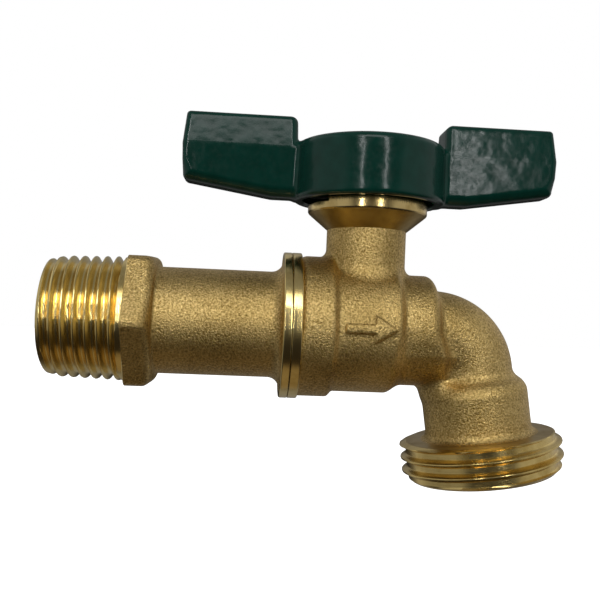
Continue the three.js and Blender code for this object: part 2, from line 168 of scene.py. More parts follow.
# handle
HANDLE_BOTTOM, HANDLE_TOP = grip_low.z, 30.5
HANDLE_R = grip_high.y
WEB = (25.2, 27.6)
CAVITY_R = 11.0
DISH_R = 10.6
WING_TIP = grip_high.x - STEM_X
WING_TOP = grip_high.z
WING_BOTTOM = 21.0
WING_RIDGE = 29.0
WING_HALF = 3.9
WING_CLIMB, WING_CLIMB_START = 0.157, 16.4    # the underside's slope and where it starts
WING_STEP = 30.0                      # above this height the wing starts a little further out
WING_ROOT_LOW, WING_ROOT_HIGH = 11.5, 12.25
WING_EDGE, WING_TOP_EDGE, WING_BOTTOM_EDGE = 0.8, 0.6, 1.2
WING_FILLET = 0.7
RING_EDGE_LOW, RING_EDGE_HIGH = 0.75, 1.2
HOLLOW_EDGE, LIP_EDGE = 0.5, 0.4      # at the floors of the hollows and at their mouths
SQUARE_HALF = 2.1
LUG_ANGLE, LUG_SPAN = 209, 26         # degrees, seen from above
LUG_INNER_R = 8.0
LUG_MIDDLE, LUG_HALF = 23.4, 2.4      # its height
LUG_EDGE = 0.3

# hidden pieces; heights are up the stem from the pipe's axis
BALL_BORE_R = 5.0
SLOT_HALF_X, SLOT_HALF_Y, SLOT_FLOOR = 1.5, 3.2, 5.9
SEAT_FRONT = 4.6                      # from the stem line
SEAT_BORE_R = 5.1
CUSHION_BORE_R = 5.6
TANG_HALF_X, TANG_HALF_Y, TANG_TOP = 1.2, 2.9, 9.3
COLLAR_R, COLLAR_BOTTOM, COLLAR_TOP = 4.2, 8.9, 10.1
GROOVE_MIDDLES = (12.45, 14.15)
GROOVE_R, GROOVE_HALF = 1.95, 0.65
SQUARE_BOTTOM, ROUND_TOP = 24.1, 24.6     # the square starts inside the round shank's end
TAP_R, TAP_FLOOR = 1.75, 19.5
NUT_BOTTOM, NUT_HALF_FLATS, NUT_FACE_R = 21.5, 5.5, 5.9
SCREW_R, SCREW_PITCH, SCREW_DEPTH = 1.4, 0.7, 0.3
SCREW_HOLE_R = 2.3
HEAD_BOTTOM, HEAD_R = 30.1, 3.6
RECESS_HALF_LENGTH, RECESS_HALF_WIDTH, RECESS_FLOOR = 2.0, 0.4, 31.2

# ------------------------------------------------------------------ axes
Axis = namedtuple("Axis", "origin along zero quarter")
RIGHT, FAR, UP = np.eye(3)
down_outlet = np.array([math.sin(OUTLET_TILT), 0, -math.cos(OUTLET_TILT)])
across_outlet = np.array([math.cos(OUTLET_TILT), 0, math.sin(OUTLET_TILT)])
bend_turn = QUARTER_TURN - OUTLET_TILT
bend_ahead = ELBOW_BEND * math.sin(bend_turn)
bend_drop = ELBOW_BEND * (1 - math.cos(bend_turn))
BEND_END = np.array([ELBOW_X + bend_ahead, 0, -bend_drop])
OUTLET_X = BEND_END[0] + BEND_END[2] * math.tan(OUTLET_TILT)

PIPE = Axis(np.zeros(3), RIGHT, UP, -FAR)
STEM = Axis(STEM_X * RIGHT, UP, RIGHT, FAR)
PIPE_AT_STEM = PIPE._replace(origin=STEM_X * RIGHT)
OUTLET = Axis(OUTLET_X * RIGHT, down_outlet, across_outlet, -FAR)


# ------------------------------------------------------------------ meshes
def finish_mesh(name, points, faces, materials, face_materials=None):
    """An object from points in millimetres, its doubled points merged and its faces turned outwards."""
    mesh = bpy.data.meshes.new(name)
    mesh.from_pydata((np.asarray(points) * MM).tolist(), [], [list(map(int, face)) for face in faces])
    for material in materials:
        mesh.materials.append(material)
    if face_materials is not None:
        mesh.polygons.foreach_set("material_index", np.asarray(face_materials, np.int32))
    work = bmesh.new()
    work.from_mesh(mesh)
    bmesh.ops.remove_doubles(work, verts=work.verts, dist=MERGE_DISTANCE)
    if work.calc_volume(signed=True) < 0:
        bmesh.ops.reverse_faces(work, faces=work.faces)
    work.to_mesh(mesh)
    work.free()
    shade(mesh)
    piece = bpy.data.objects.new(name, mesh)
    bpy.context.scene.collection.objects.link(piece)
    return piece


def shade(mesh):
    """Smooth shading, with the sharp edges kept crisp."""
    mesh.shade_smooth()
    mesh.set_sharp_from_angle(angle=math.radians(SHARP_ANGLE))


def place(axis, along, radius, angle):
    """Points round an axis from their place along it, their radius and their angle."""
    along, radius, angle = np.broadcast_arrays(along, radius, angle)
    outward = np.cos(angle)[..., None] * axis.zero + np.sin(angle)[..., None] * axis.quarter
    return axis.origin + along[..., None] * axis.along + radius[..., None] * outward


def rounded(points, closed=False):
    """An outline from (along, radius, setback) corners; each setback is where its curve starts."""
    steps = 4
    outline = []
    last = len(points) - 1
    for i, (along, radius, setback) in enumerate(points):
        here = np.array([along, radius])
        if setback == 0 or (not closed and i in (0, last)):
            outline.append(here)
            continue
        before = np.array(points[i - 1][:2]) - here
        after = np.array(points[(i + 1) % len(points)][:2]) - here
        start = here + before / np.linalg.norm(before) * setback
        end = here + after / np.linalg.norm(after) * setback
        for t in np.linspace(0, 1, steps + 1):
            outline.append((1 - t) ** 2 * start + 2 * t * (1 - t) * here + t ** 2 * end)
    return outline


def quads_of(index):
    """The four-sided faces between the rows and columns of a grid of point numbers."""
    quads = np.stack([index[:-1, :-1], index[1:, :-1], index[1:, 1:], index[:-1, 1:]], axis=-1)
    return quads.reshape(-1, 4)


def smooth(t):
    """From nought to one with soft ends."""
    return t * t * (3 - 2 * t)


class Rings:
    """A surface made ring by ring round an axis, each band of faces with its own material."""

    def __init__(self, axis, columns):
        self.axis = axis
        self.angles = np.linspace(0, FULL_TURN, columns + 1)
        self.rings = []
        self.bands = []

    def add(self, along, radius, band=0):
        along, radius = np.asarray(along, float), np.asarray(radius, float)
        self.rings.append(place(self.axis, along, radius, self.angles))
        self.bands.append(band)

    def add_outline(self, outline, band=0):
        for along, radius in outline:
            self.add(along, radius, band)

    def add_thread(self, start, end, first, pitch, radius_at, band=0, steps=16):
        """Rows that follow the helix, held between the start and the end of the thread."""
        turns = math.ceil((end - start) / pitch) + 2
        for row in range(-2 * steps, turns * steps):
            along = first + pitch * (row / steps + self.angles / FULL_TURN)
            along = np.clip(along, start, end)
            self.add(along, radius_at(along, self.angles), band)

    def piece(self, name, materials, closed=True):
        grid = np.array(self.rings)
        rows, columns = grid.shape[:2]
        index = np.arange(rows * columns).reshape(rows, columns)
        if closed:
            index = np.vstack([index, index[:1]])
        bands = np.repeat(self.bands[:len(index) - 1], columns - 1)
        return finish_mesh(name, grid.reshape(-1, 3), quads_of(index), materials, bands)


def turned(name, axis, points, materials, band=0, columns=128, closed=True):
    """A turned piece from (along, radius, setback) corners."""
    rings = Rings(axis, columns)
    rings.add_outline(rounded(points, closed), band)
    return rings.piece(name, materials, closed)


def ring_corners(start, end, inner, outer, setback):
    """The four corners of a plain ring's section."""
    spots = [(start, inner), (start, outer), (end, outer), (end, inner)]
    return [(along, radius, setback) for along, radius in spots]


def thread_radius(first, pitch, depth, crest_at, crest_flat, root_flat):
    """The radius of a right-hand thread at a place along it and an angle round it."""
    flank = (pitch - crest_flat - root_flat) / 2
    straight, soft = 0.6, 0.4         # shares of the flank's slope

    def radius_at(along, angle):
        turn = (along - first) / pitch - angle / FULL_TURN
        off = np.abs(turn - np.round(turn)) * pitch
        down = np.clip((off - crest_flat / 2) / flank, 0, 1)
        return crest_at(along) - depth * (straight * down + soft * smooth(down))

    return radius_at


def join(target, tool, operation):
    """Joins or cuts a piece with another closed mesh, which is used up."""
    modifier = target.modifiers.new("join", "BOOLEAN")
    modifier.operation = operation
    modifier.solver = "MANIFOLD"
    modifier.object = tool
    graph = bpy.context.evaluated_depsgraph_get()
    mesh = bpy.data.meshes.new_from_object(target.evaluated_get(graph))
    target.modifiers.clear()
    target.data = mesh
    bpy.data.objects.remove(tool)
    shade(mesh)


# ------------------------------------------------------------------ distance fields
def fillet(a, b, radius):
    """Both shapes, with a round fillet in the corner between them."""
    inside = np.hypot(np.maximum(radius - a, 0), np.maximum(radius - b, 0))
    return np.maximum(radius, np.minimum(a, b)) - inside


def bevel(a, b, radius):
    """What two shapes share, with the edge between them rounded."""
    outside = np.hypot(np.maximum(radius + a, 0), np.maximum(radius + b, 0))
    return np.minimum(-radius, np.maximum(a, b)) + outside


def drum(along, across, start, end, radius, edge):
    """A round bar between two places on its axis, with rounded rims."""
    return bevel(across - radius, np.abs(along - (start + end) / 2) - (end - start) / 2, edge)


def field_mesh(name, field, low, high, materials):
    """A closed quad mesh where a field is zero, its points then moved onto the exact surface."""
    step = FIELD_STEP
    axes = [np.arange(a, b + step, step, dtype=np.float32) for a, b in zip(low, high)]
    values = field(*np.meshgrid(*axes, indexing="ij", sparse=True))
    grid = openvdb.FloatGrid(float(4 * step))
    grid.copyFromArray(np.ascontiguousarray(values, np.float32))
    points, quads = grid.convertToQuads(isovalue=0)
    points = points.astype(float) * step + np.asarray(low)
    passes, probe, least_slope = 3, 0.02, 0.2
    for _ in range(passes):
        here = field(*points.T)
        slope = [(field(*(points + probe * axis).T) - here) / probe for axis in np.eye(3)]
        slope = np.stack(slope, axis=-1)
        size = np.maximum((slope ** 2).sum(axis=-1, keepdims=True), least_slope)
        points -= np.clip(here[:, None] * slope / size, -step / 2, step / 2)
    return finish_mesh(name, points, quads, materials)


def falling(x, middle, width):
    """A smooth step from one down to nought, centred on a place."""
    return 1 - smooth(np.clip((x - middle) / width + 0.5, 0, 1))


def outlet_place(x, z):
    """Places along and across the outlet's axis."""
    along = (x - OUTLET_X) * down_outlet[0] + z * down_outlet[2]
    across = (x - OUTLET_X) * across_outlet[0] + z * across_outlet[2]
    return along, across


def bend_distance(x, z, lead):
    """Distance in the pipe's plane from the waterway's centre line, which starts at lead."""
    tail_length = 6                   # how far the line runs on past the bend
    far = 1e3
    across, above = x - ELBOW_X, z + ELBOW_BEND
    arc = np.abs(np.hypot(across, above) - ELBOW_BEND)
    tail = (x - BEND_END[0]) * down_outlet[0] + (z - BEND_END[2]) * down_outlet[2]
    off = (x - BEND_END[0]) * across_outlet[0] + (z - BEND_END[2]) * across_outlet[2]
    before = np.hypot(np.maximum(lead - x, 0), z)
    straight = np.where(across <= 0, before, far)
    below = np.where(tail >= 0, np.hypot(off, np.maximum(tail - tail_length, 0)), far)
    bend = np.where((across > 0) & (tail < 0), arc, far)
    return np.minimum(np.minimum(straight, below), bend)


def arrow_field(x, z):
    """A flat arrow that points along the flow: a bar and a triangular head."""
    half_length, half_bar, head_half, head_length, overlap = 4.0, 0.7, 2.1, 3.4, 0.5
    head_back = half_length - head_length
    bar = np.maximum(np.abs(z) - half_bar, np.maximum(-half_length - x, x - head_back - overlap))
    slope = math.hypot(head_half, head_length)
    side = ((x - head_back) * head_half + (np.abs(z) - head_half) * head_length) / slope
    return np.minimum(bar, np.maximum(side, head_back - x))


def body_field(x, y, z):
    """The cast part of the outlet body."""
    across = np.hypot(y, z)
    low = np.clip(-z / UNDERSIDE_DEPTH, 0, 1)      # from nought to one towards the underside
    step_one = falling(x, STEP_ONE_FALL, STEP_ONE_WIDTH)
    step_two = falling(x, STEP_TWO_FALL, STEP_TWO_WIDTH + STEP_TWO_WIDTH * low)
    radius = STEP_THREE_R + (STEP_ONE_R - STEP_TWO_R) * step_one + (STEP_TWO_R - STEP_THREE_R) * step_two
    extra = UNDERSIDE_EXTRA * low
    middle = (CAST_START + STEP_THREE_END + extra) / 2
    half = (STEP_THREE_END + extra - CAST_START) / 2
    edge = END_EDGE - UNDERSIDE_SHARPER * low
    slack = 0.8                       # holds the field's slope near one where the steps fall
    barrel = bevel(slack * (across - radius), np.abs(x - middle) - half, edge)
    neck = np.maximum(np.hypot(x - STEM_X, y) - NECK_R, np.maximum(z - RIM_BOTTOM, -z))
    elbow = np.hypot(bend_distance(x, z, STEM_X), y) - ELBOW_R
    along, out = outlet_place(x, z)
    radius = np.hypot(out, y)
    cone = CUFF_RUN * (radius - ELBOW_R) - CUFF_RISE * (along - CUFF_START)
    cuff = bevel(np.maximum(radius - CUFF_R, along - SHOULDER - CUFF_OVERLAP), cone, CUFF_EDGE)
    core = drum(along, radius, CORE_START, CORE_END, CORE_R, CORE_EDGE)
    spout = fillet(fillet(elbow, cuff, CUFF_FILLET), core, CORE_FILLET)
    cast = fillet(fillet(barrel, neck, NECK_FILLET), spout, NECK_FILLET + CROTCH_FILLET * low)
    arrow = np.maximum(arrow_field(x - STEM_X, z), across - STEP_TWO_R - ARROW_HEIGHT)
    cast = fillet(cast, np.maximum(arrow, y), ARROW_FILLET)
    way_start = STEM_X + SEAT_BACK + 1
    way = np.hypot(bend_distance(x, z, way_start), y) - ELBOW_BORE_R
    return np.maximum(cast, -way)


def wing_field(out, thick, z):
    """The wings: drafted facets above and below a ridge, on the sides and on the tip."""
    rise = z - WING_RIDGE
    side_low, side_high, tip_low, tip_high = 0.08, 0.13, 0.03, 0.1    # drafts below and above the ridge
    sides = np.maximum(thick - WING_HALF - side_low * rise, thick - WING_HALF + side_high * rise)
    tip = np.maximum(out - WING_TIP - tip_low * rise, out - WING_TIP + tip_high * rise)
    slope = WING_BOTTOM + WING_CLIMB * (out - WING_CLIMB_START)
    bottom = np.maximum(WING_BOTTOM - z, slope - z)
    root_high = WING_ROOT_HIGH + tip_low * (z - WING_STEP) - out
    root = np.minimum(root_high, np.maximum(z - WING_STEP, WING_ROOT_LOW - out))
    outline = bevel(bevel(tip, bottom, WING_EDGE), z - WING_TOP, WING_TOP_EDGE)
    near_bottom = np.clip(1.5 + 0.5 * bottom, 0, 1)    # one at the underside, nought 3 mm above it
    wing = bevel(sides, outline, WING_EDGE + WING_BOTTOM_EDGE * near_bottom)
    return bevel(wing, root, WING_BOTTOM_EDGE)


def lug_field(x, y, z, across):
    """The wedge under the handle that strikes the ends of the stop."""
    middle, half = math.radians(LUG_ANGLE), math.radians(LUG_SPAN / 2)
    along = x * math.cos(middle) + y * math.sin(middle)
    aside = np.abs(y * math.cos(middle) - x * math.sin(middle))
    wedge = aside * math.cos(half) - along * math.sin(half)
    overlap = 0.6                     # with the ring's wall
    band = np.maximum(LUG_INNER_R - across, across - CAVITY_R - overlap)
    return bevel(bevel(wedge, band, LUG_EDGE), np.abs(z - LUG_MIDDLE) - LUG_HALF, LUG_EDGE)


def handle_field(x, y, z):
    """The handle: a ring with a web, two drafted wings and the stop lug."""
    x = x - STEM_X
    across = np.hypot(x, y)
    edge = np.where(z < WEB[0], RING_EDGE_LOW, RING_EDGE_HIGH)
    ring = drum(z, across, HANDLE_BOTTOM, HANDLE_TOP, HANDLE_R, edge)
    out, thick = np.abs(x), np.abs(y)
    grip = fillet(ring, wing_field(out, thick, z), WING_FILLET)
    beyond = 9                        # the hollows are cut from well outside the handle
    cavity = drum(z, across, HANDLE_BOTTOM - beyond, WEB[0], CAVITY_R, HOLLOW_EDGE)
    dish = drum(z, across, WEB[1], HANDLE_TOP + beyond, DISH_R, HOLLOW_EDGE)
    grip = bevel(bevel(grip, -cavity, LIP_EDGE), -dish, LIP_EDGE)
    grip = fillet(grip, lug_field(x, y, z, across), LUG_EDGE)
    hole = np.maximum(out, thick) - SQUARE_HALF - GAP
    return np.maximum(grip, -hole)


# ------------------------------------------------------------------ materials
def add(tree, kind, inputs=None, **settings):
    """A node with its settings; an input is a number, a colour or another node's output."""
    made = tree.nodes.new(kind)
    for key, value in settings.items():
        setattr(made, key, value)
    for key, value in (inputs or {}).items():
        if isinstance(value, bpy.types.NodeSocket):
            tree.links.new(value, made.inputs[key])
        else:
            made.inputs[key].default_value = value
    return made


def noise(tree, where, scale, detail, rough=0.5):
    inputs = {"Vector": where, "Scale": scale, "Detail": detail, "Roughness": rough}
    return add(tree, "ShaderNodeTexNoise", inputs).outputs["Fac"]


def vector_math(tree, operation, *values):
    """A Vector Math node's result: a number for a dot product or a length, or else a vector."""
    made = add(tree, "ShaderNodeVectorMath", dict(enumerate(values)), operation=operation)
    return made.outputs["Value" if operation in ("DOT_PRODUCT", "LENGTH") else "Vector"]


def number_math(tree, operation, *values):
    return add(tree, "ShaderNodeMath", dict(enumerate(values)), operation=operation).outputs["Value"]


def map_range(tree, value, start, end, top=1.0):
    """How far a value is from start to end, held between nought and top."""
    inputs = {"Value": value, "From Min": start, "From Max": end, "To Max": top}
    return add(tree, "ShaderNodeMapRange", inputs).outputs["Result"]


def ramp(tree, value, stops):
    """A colour ramp from (place, colour) stops."""
    made = add(tree, "ShaderNodeValToRGB", {"Fac": value})
    band = made.color_ramp
    while len(band.elements) < len(stops):
        band.elements.new(0.5)
    for element, (spot, colour) in zip(band.elements, stops):
        element.position = spot
        element.color = (*colour, 1)
    return made.outputs["Color"]


def grey(value):
    return (value, value, value)


def bump(tree, height, distance, strength, normal=None):
    inputs = {"Height": height, "Distance": distance, "Strength": strength}
    if normal is not None:
        inputs["Normal"] = normal
    return add(tree, "ShaderNodeBump", inputs).outputs["Normal"]


def wire(tree, shader, colour, roughness, normal):
    """Links a surface's three textures to its shader."""
    for key, value in (("Base Color", colour), ("Roughness", roughness), ("Normal", normal)):
        tree.links.new(value, shader.inputs[key])


def new_material(name, **settings):
    """A material and its node tree; settings are the shader's own uniform inputs."""
    material = bpy.data.materials.new(name)
    material.use_nodes = True
    tree = material.node_tree
    shader = tree.nodes["Principled BSDF"]
    for key, value in settings.items():
        shader.inputs[key.replace("_", " ")].default_value = value
    where = add(tree, "ShaderNodeTexCoord").outputs["Object"]
    return material, tree, shader, where


def cast_brass():
    """Forged brass, blasted to an even sandy grain."""
    material, tree, shader, where = new_material("cast_brass", Metallic=1.0)
    grain = noise(tree, where, scale=3300, detail=3, rough=0.6)
    pits = noise(tree, where, scale=1300, detail=2)
    cloud = noise(tree, where, scale=120, detail=3)
    mixed = add(tree, "ShaderNodeMix", {"Factor": 0.25, "A": grain, "B": cloud}).outputs["Result"]
    hollow, middle, peak = (0.26, 0.17, 0.045), (0.57, 0.395, 0.14), (0.87, 0.645, 0.27)
    colour = ramp(tree, mixed, [(0.34, hollow), (0.5, middle), (0.66, peak)])
    roughness = ramp(tree, grain, [(0.3, grey(0.47)), (0.7, grey(0.32))])
    normal = bump(tree, pits, distance=0.00012, strength=0.35)
    normal = bump(tree, grain, distance=0.00016, strength=1.0, normal=normal)
    wire(tree, shader, colour, roughness, normal)
    return material


def along_and_radius(tree, where, axis):
    """A coordinate that is constant round an axis, for turning marks."""
    direction = tuple(axis.along)
    offset = vector_math(tree, "SUBTRACT", where, tuple(axis.origin * MM))
    along = vector_math(tree, "DOT_PRODUCT", offset, direction)
    radius = vector_math(tree, "LENGTH", vector_math(tree, "CROSS_PRODUCT", offset, direction))
    return add(tree, "ShaderNodeCombineXYZ", {"X": along, "Y": radius}).outputs["Vector"]


def turned_metal(name, axis, dark, bright, roughness, marks_depth=0.35):
    """Machined metal with fine rings round its axis and a little tarnish."""
    material, tree, shader, where = new_material(name, Metallic=1.0)
    marks = noise(tree, along_and_radius(tree, where, axis), scale=8000, detail=2, rough=0.6)
    smudge = noise(tree, where, scale=260, detail=4, rough=0.6)
    colour = ramp(tree, smudge, [(0.32, dark), (0.55, bright)])
    low, high = roughness
    gloss = ramp(tree, smudge, [(0.3, grey(high)), (0.65, grey(low))])
    wire(tree, shader, colour, gloss, bump(tree, marks, distance=0.00003, strength=marks_depth))
    return material


def green_paint():
    """Dark green powder coat, glossy, with orange peel."""
    material, tree, shader, where = new_material("handle_paint", Metallic=0.0, IOR=1.36)
    peel = noise(tree, where, scale=480, detail=1.4, rough=0.42)
    fine = noise(tree, where, scale=1500, detail=1)
    colour = ramp(tree, peel, [(0.3, (0.002, 0.034, 0.023)), (0.7, (0.003, 0.043, 0.03))])
    roughness = ramp(tree, fine, [(0.3, grey(0.21)), (0.7, grey(0.15))])
    normal = bump(tree, peel, distance=0.00018, strength=0.46)
    normal = bump(tree, fine, distance=0.00002, strength=0.08, normal=normal)
    wire(tree, shader, colour, roughness, normal)
    return material


def moulded(name, dark, bright, roughness, scale, **settings):
    """A moulded plastic or rubber with a faint grain."""
    material, tree, shader, where = new_material(name, Metallic=0.0, **settings)
    grain = noise(tree, where, scale, detail=3)
    colour = ramp(tree, grain, [(0.3, dark), (0.7, bright)])
    gloss = ramp(tree, grain, [(0.3, grey(roughness + 0.08)), (0.7, grey(roughness))])
    wire(tree, shader, colour, gloss, bump(tree, grain, distance=0.00003, strength=0.2))
    return material


# each turned metal: its tarnished and its clean colour, and the range of its roughness
CAST = cast_brass()
PIPE_BRASS = turned_metal("turned_brass_pipe", PIPE,
                          (0.68, 0.5, 0.18), (0.9, 0.71, 0.31), (0.17, 0.26), marks_depth=0.5)
OUTLET_BRASS = turned_metal("turned_brass_outlet", OUTLET,
                            (0.6, 0.42, 0.13), (0.8, 0.6, 0.23), (0.2, 0.3), marks_depth=0.4)
STEM_BRASS = turned_metal("turned_brass_stem", STEM,
                          (0.53, 0.37, 0.13), (0.72, 0.54, 0.23), (0.16, 0.23), marks_depth=0.25)
# a rougher copy of the stem's turned brass, made darker to paint the shade on the neck's cone and on the
# hose ring's shoulder
SATIN_AND_SHADE_BRASS = turned_metal("satin_and_shade_brass_stem", STEM,
                           (0.34, 0.23, 0.07), (0.46, 0.33, 0.12), (0.3, 0.4), marks_depth=0.2)
CHROME = turned_metal("ball_chrome", PIPE, (0.68, 0.69, 0.71), (0.8, 0.81, 0.83), (0.05, 0.1))
ZINC = turned_metal("zinc_steel", STEM, (0.42, 0.43, 0.43), (0.58, 0.59, 0.6), (0.28, 0.42))
FINISHES = [CAST, PIPE_BRASS, OUTLET_BRASS, STEM_BRASS, SATIN_AND_SHADE_BRASS]
BY_PIPE, BY_OUTLET, BY_STEM, SATIN_AND_SHADE = 1, 2, 3, 4      # places in the list of finishes
PAINT = green_paint()
PLASTIC = moulded("seat_plastic", (0.74, 0.72, 0.66), (0.84, 0.82, 0.77), 0.42, 900, IOR=1.38)
RUBBER = moulded("seal_rubber", (0.012, 0.012, 0.012), (0.026, 0.026, 0.027), 0.6, 1500)


# ------------------------------------------------------------------ pieces
def settle(piece, body, slot, *nodes):
    """A piece's body, its finish slot, which is not used, and the CAD nodes that it stands for."""
    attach(piece, body)
    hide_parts(*nodes)


def hex_radius(angles):
    """The hexagon's radius with a flat at the top, its corners turned down."""
    off = (angles - HEX_TURN + HEX_SECTOR / 2) % HEX_SECTOR - HEX_SECTOR / 2
    flat = HEX_HALF_FLATS / np.cos(off)
    soft = 0.12
    gap = np.maximum(soft - np.abs(flat - HEX_CORNER_R), 0)
    return np.minimum(flat, HEX_CORNER_R) - gap ** 2 / (4 * soft)


def inlet_tailpiece():
    """Pipe thread, wrench hexagon, barrel and flange as one closed surface."""
    cast, bright = 0, BY_PIPE
    rings = Rings(PIPE, 240)
    rings.add(0, INLET_BORE_R + INLET_MOUTH, bright)
    thread = thread_radius(NPT_FIRST, NPT_PITCH, NPT_DEPTH, lambda x: NPT_CREST + x * NPT_TAPER,
                           crest_flat=0.16, root_flat=0.34)

    def npt(along, angles):
        chamfer = NPT_LEAD_R + NPT_LEAD_SLOPE * along
        run_out = np.minimum(NECK_RING_R, NECK_RING_R - NPT_RUN_OUT * (NECK_RING_START - along))
        return np.maximum(np.minimum(thread(along, angles), chamfer), run_out)

    rings.add_thread(0, NECK_RING_START + 0.1, NPT_FIRST, NPT_PITCH, npt, bright)
    rings.add(HEX_START, NECK_RING_R, bright)
    corner = hex_radius(rings.angles)
    rings.add(HEX_START, corner - HEX_EDGE, bright)
    rings.add(HEX_START + HEX_EDGE, corner, cast)
    rings.add(HEX_ROUND_START - 0.6, corner, cast)
    low = BARREL_R + SHOULDER_FOOT
    for turn in np.linspace(0, QUARTER_TURN, 9):
        drop = (corner - low) * (1 - math.cos(turn))
        rings.add(HEX_ROUND_START + HEX_ROUND * math.sin(turn), corner - drop, cast)
    foot = HEX_ROUND_START + HEX_ROUND
    for turn in np.linspace(0, QUARTER_TURN, 6)[1:]:
        along = foot + SHOULDER_FOOT * (1 - math.cos(turn))
        rings.add(along, low - SHOULDER_FOOT * math.sin(turn), cast)
    for along in np.linspace(foot + 1, FLANGE_START - FLANGE_FILLET, 20):
        rings.add(along, BARREL_R, cast)
    for turn in np.linspace(0, QUARTER_TURN, 8)[1:]:
        along = FLANGE_START - FLANGE_FILLET * (1 - math.sin(turn))
        rings.add(along, BARREL_R + FLANGE_FILLET * (1 - math.cos(turn)), cast)
    face = SEAM - JOINT_LINE
    groove_start, groove_end = SEAL_GROOVE
    rings.add_outline(rounded([
        (FLANGE_START, FLANGE_R - 0.9, 0), (FLANGE_START, FLANGE_R, 0.3), (face, FLANGE_R, 0.12),
        (face, SPIGOT_R, 0), (groove_start, SPIGOT_R, 0), (groove_start, SEAL_GROOVE_R, 0),
        (groove_end, SEAL_GROOVE_R, 0), (groove_end, SPIGOT_R, 0), (SPIGOT_END, SPIGOT_R, 0.3),
        (SPIGOT_END, SEAT_POCKET_R, 0.2), (INLET_POCKET_FLOOR, SEAT_POCKET_R, 0),
        (INLET_POCKET_FLOOR, INLET_BORE_R, 0.2), (0, INLET_BORE_R, INLET_MOUTH),
        (0, INLET_BORE_R + INLET_MOUTH, 0),
    ]), bright)
    piece = rings.piece("inlet_tailpiece_brass", FINISHES)
    settle(piece, "valve_body", "cast_brass", "inlet_tailpiece")


def hose_thread():
    """The turned outlet ring, solid to its axis, with the hose thread on it."""
    rings = Rings(OUTLET, 224)
    thread = thread_radius(GHT_FIRST, GHT_PITCH, GHT_DEPTH, lambda s: GHT_CREST,
                           crest_flat=0.22, root_flat=0.95)
    edge = 0.15

    def ght(along, angles):
        top = GHT_LEAD_R + GHT_LEAD_SLOPE * (along - SHOULDER)
        low = OUTLET_RIM_R + GHT_END_SLOPE * (OUTLET_END - edge - along)
        return np.minimum(np.minimum(thread(along, angles), top), np.maximum(low, OUTLET_RIM_R - edge))

    # the shoulder face takes the darker brass, which is painted shade
    rings.add(SHOULDER, 0, SATIN_AND_SHADE)
    rings.add(SHOULDER, SHOULDER_R, SATIN_AND_SHADE)
    rings.add_thread(SHOULDER + 0.08, OUTLET_END - 0.05, GHT_FIRST, GHT_PITCH, ght, BY_OUTLET)
    rings.add(OUTLET_END, OUTLET_RIM_R - 2 * edge, BY_OUTLET)
    rings.add(OUTLET_END, 0, BY_OUTLET)
    return rings.piece("hose_thread", FINISHES, closed=False)


def swept(name, section, from_angle, to_angle, columns, materials, band=0):
    """A closed section swept part of the way round the stem line, with flat ends."""
    angles = np.linspace(from_angle, to_angle, columns)
    rings = np.array([place(STEM, along, radius, angles) for along, radius in section])
    index = np.arange(rings[..., 0].size).reshape(rings.shape[:2])
    wrapped = np.vstack([index, index[:1]])
    faces = quads_of(wrapped).tolist() + [index[::-1, 0].tolist(), index[:, -1].tolist()]
    return finish_mesh(name, rings.reshape(-1, 3), faces, materials, [band] * len(faces))


def block(name, low, high, materials):
    """A closed box, used to cut slots and to raise squares."""
    spans = list(zip(low, high))
    points = [(x, y, z) for x in spans[0] for y in spans[1] for z in spans[2]]
    faces = [(0, 1, 3, 2), (4, 6, 7, 5), (0, 4, 5, 1), (2, 3, 7, 6), (0, 2, 6, 4), (1, 5, 7, 3)]
    return finish_mesh(name, points, faces, materials)


def stop_ring():
    """The raised sector on the neck's rim that the handle's lug strikes."""
    bottom = RIM_TOP - 0.6
    section = rounded([(bottom, STOP_INNER_R, 0), (bottom, RIM_R, 0), (STOP_TOP, RIM_R, 0.3),
                       (STOP_TOP, STOP_INNER_R, 0.2)], closed=True)
    start = math.radians(STOP_FROM)
    return swept("stop_ring", section, start, start + math.radians(STOP_SPAN), 97, FINISHES, BY_STEM)


def body_flange():
    """The machined flange that meets the tailpiece's."""
    face = SEAM + JOINT_LINE
    points = [(face, 0, 0), (face, FLANGE_R, 0.12), (BODY_FLANGE_END, FLANGE_R, 0.25),
              (BODY_FLANGE_END, STEP_ONE_R - 1.2, 0), (BODY_FLANGE_END, 0, 0)]
    return turned("flange", PIPE, points, FINISHES, BY_PIPE, 240, closed=False)


def neck_rim():
    """The neck's machined cone and the rim above it."""
    rim = Rings(STEM, 160)
    # the cone under the rim takes the darker brass, which is painted shade
    rim.add_outline([(CONE_START, 0), (CONE_START, NECK_R - 0.1),
                     (RIM_BOTTOM - 0.5, RIM_R - 0.62), (RIM_BOTTOM - 0.22, RIM_R - 0.3)], SATIN_AND_SHADE)
    rim.add_outline(rounded([(RIM_BOTTOM - 0.1, RIM_R - 0.15, 0), (RIM_BOTTOM + 0.15, RIM_R, 0.1),
                             (RIM_TOP, RIM_R, 0.2), (RIM_TOP, 0, 0)]), BY_STEM)
    return rim.piece("rim", FINISHES, closed=False)


